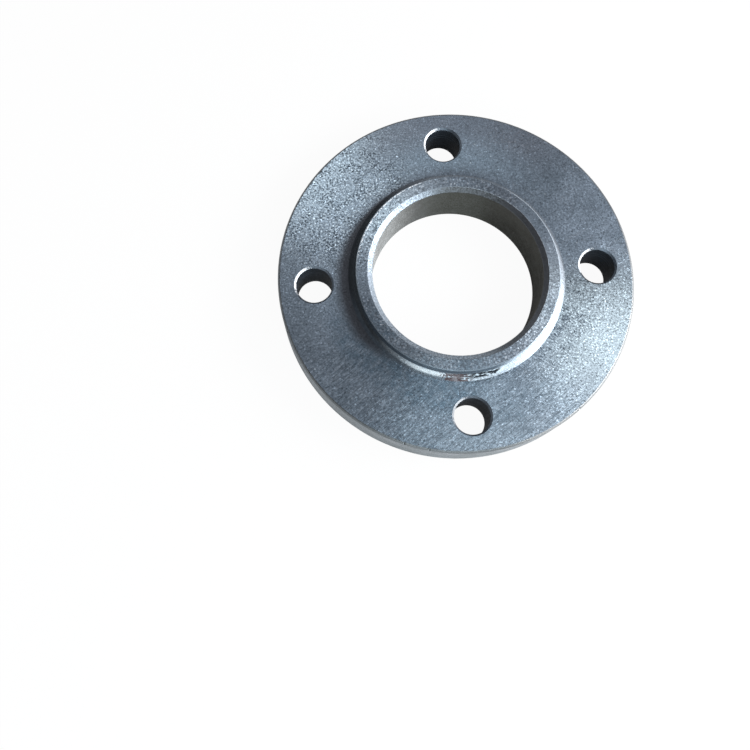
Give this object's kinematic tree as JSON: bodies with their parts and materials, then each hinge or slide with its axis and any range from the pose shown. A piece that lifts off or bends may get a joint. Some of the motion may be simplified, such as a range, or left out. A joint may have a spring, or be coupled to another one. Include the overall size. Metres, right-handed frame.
{
  "type": "slip on flange",
  "caption": "Round steel slip-on pipe flange: a flat plate with a low hub, a straight bore for the pipe, a circle of bolt holes and a raised, grooved sealing face.",
  "frame": {"origin": "centre of the raised sealing face, on the bore's axis, where the flange rests", "axes": "+Z along the bore from the sealing face to the hub, +X through the centre of a bolt hole"},
  "size_m": [0.1906, 0.1906, 0.0305],
  "materials": {
    "steel": "turned, blasted and oiled, dull blue-grey with fine bright grain"
  },
  "bodies": {
    "root": {"flange": "steel"}
  },
  "joints": []
}
